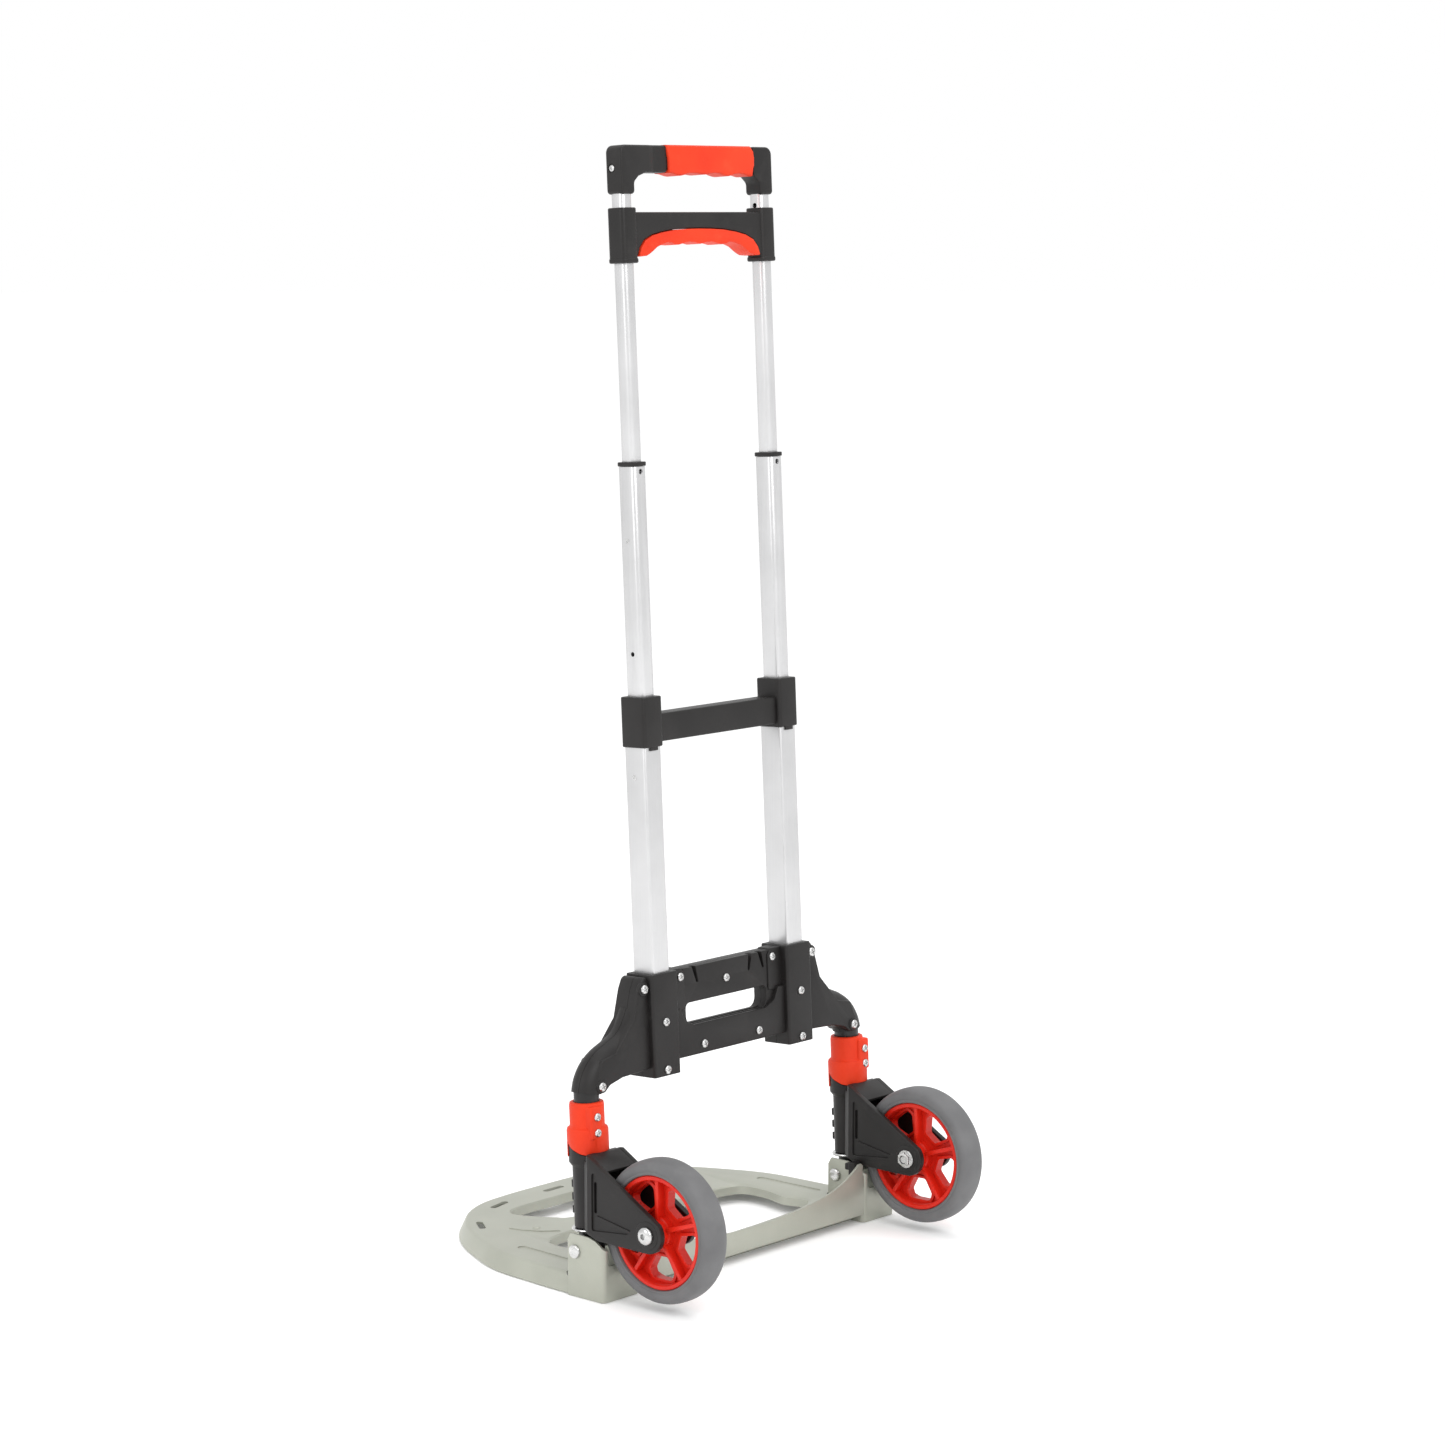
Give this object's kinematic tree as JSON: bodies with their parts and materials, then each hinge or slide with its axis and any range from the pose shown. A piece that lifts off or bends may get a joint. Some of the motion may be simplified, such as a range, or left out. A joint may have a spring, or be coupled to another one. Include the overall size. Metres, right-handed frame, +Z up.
{
  "type": "folding hand truck",
  "caption": "Folding hand truck with a telescopic handle, squeeze-to-release bar, hinged perforated toe plate and spoked wheels in forks beside the legs.",
  "frame": {"origin": "on the floor under the middle of the bounding box", "axes": "+Z up, +Y to the rear (wheel side), +X to the truck's left, seen from the front of the toe plate looking rearwards it is to the right"},
  "size_m": [0.4054, 0.4008, 0.9982],
  "materials": {
    "satin_aluminium": "satin anodised",
    "black_plastic": "fine moulded grain",
    "orange_plastic": "soft matte moulding",
    "red_plastic": "semi-gloss moulding",
    "grey_tyre": "smooth grey rubber",
    "zinc_steel": "bright zinc plated",
    "black_steel": "black powder coat",
    "bearing_brass": "plain bearing bronze",
    "painted_plate": "silver-grey metallic paint"
  },
  "bodies": {
    "frame": {"outer_rail_left": "satin_aluminium", "outer_rail_right": "satin_aluminium", "outer_bush_left": "black_plastic", "outer_bush_right": "black_plastic", "rail_bracket": "black_plastic", "base_cover_rear": "black_plastic", "base_cover_front": "black_plastic", "screw_column_upper_left": "zinc_steel", "screw_column_lower_left": "zinc_steel", "screw_column_upper_right": "zinc_steel", "screw_column_lower_right": "zinc_steel", "screw_crossbar": "zinc_steel", "screw_lower_bar_left": "zinc_steel", "screw_lower_bar_right": "zinc_steel", "leg_left": "black_steel", "leg_right": "black_steel", "cam_collar_left": "orange_plastic", "cam_collar_right": "orange_plastic", "wheel_fork_left": "black_plastic", "wheel_fork_right": "black_plastic", "thrust_washer_left": "zinc_steel", "thrust_washer_right": "zinc_steel", "axle_bolt_left": "zinc_steel", "axle_bolt_right": "zinc_steel", "axle_nut_left": "zinc_steel", "axle_nut_right": "zinc_steel"},
    "middle_stage": {"middle_rail_left": "satin_aluminium", "middle_rail_right": "satin_aluminium", "middle_bush_left": "black_plastic", "middle_bush_right": "black_plastic", "middle_guide_left": "black_plastic", "middle_guide_right": "black_plastic"},
    "upper_stage": {"inner_rail_left": "satin_aluminium", "inner_rail_right": "satin_aluminium", "inner_guide_left": "black_plastic", "inner_guide_right": "black_plastic", "handle_body": "black_plastic", "handle_grip": "orange_plastic", "handle_screw_left": "zinc_steel", "handle_screw_right": "zinc_steel"},
    "release": {"release_bar": "black_plastic", "release_pad": "orange_plastic"},
    "toe": {"toe_plate": "painted_plate", "pivot_pin_left": "zinc_steel", "pivot_pin_right": "zinc_steel"},
    "wheel_left": {"tyre_left": "grey_tyre", "wheel_hub_left": "red_plastic", "wheel_bearing_left": "bearing_brass"},
    "wheel_right": {"tyre_right": "grey_tyre", "wheel_hub_right": "red_plastic", "wheel_bearing_right": "bearing_brass"}
  },
  "joints": [
    {"name": "middle_slide", "type": "slide", "parent": "frame", "child": "middle_stage", "axis": [0, 0.0492, -0.9988], "range_m": [0, 0.2]},
    {"name": "upper_slide", "type": "slide", "parent": "middle_stage", "child": "upper_stage", "axis": [0, 0.0492, -0.9988], "range_m": [0, 0.17]},
    {"name": "release_squeeze", "type": "slide", "parent": "upper_stage", "child": "release", "axis": [0, -0.0492, 0.9988], "range_m": [0, 0.01], "stiffness_N_per_m": 400},
    {"name": "toe_fold", "type": "hinge", "parent": "frame", "child": "toe", "pos_m": [0, 0.0501, 0.0405], "axis": [-1, 0, 0], "range_deg": [0, 84]},
    {"name": "wheel_spin_left", "type": "hinge", "parent": "frame", "child": "wheel_left", "pos_m": [0.1755, 0.1368, 0.071], "axis": [1, 0, 0], "continuous": true},
    {"name": "wheel_spin_right", "type": "hinge", "parent": "frame", "child": "wheel_right", "pos_m": [-0.1755, 0.1368, 0.071], "axis": [1, 0, 0], "continuous": true}
  ]
}
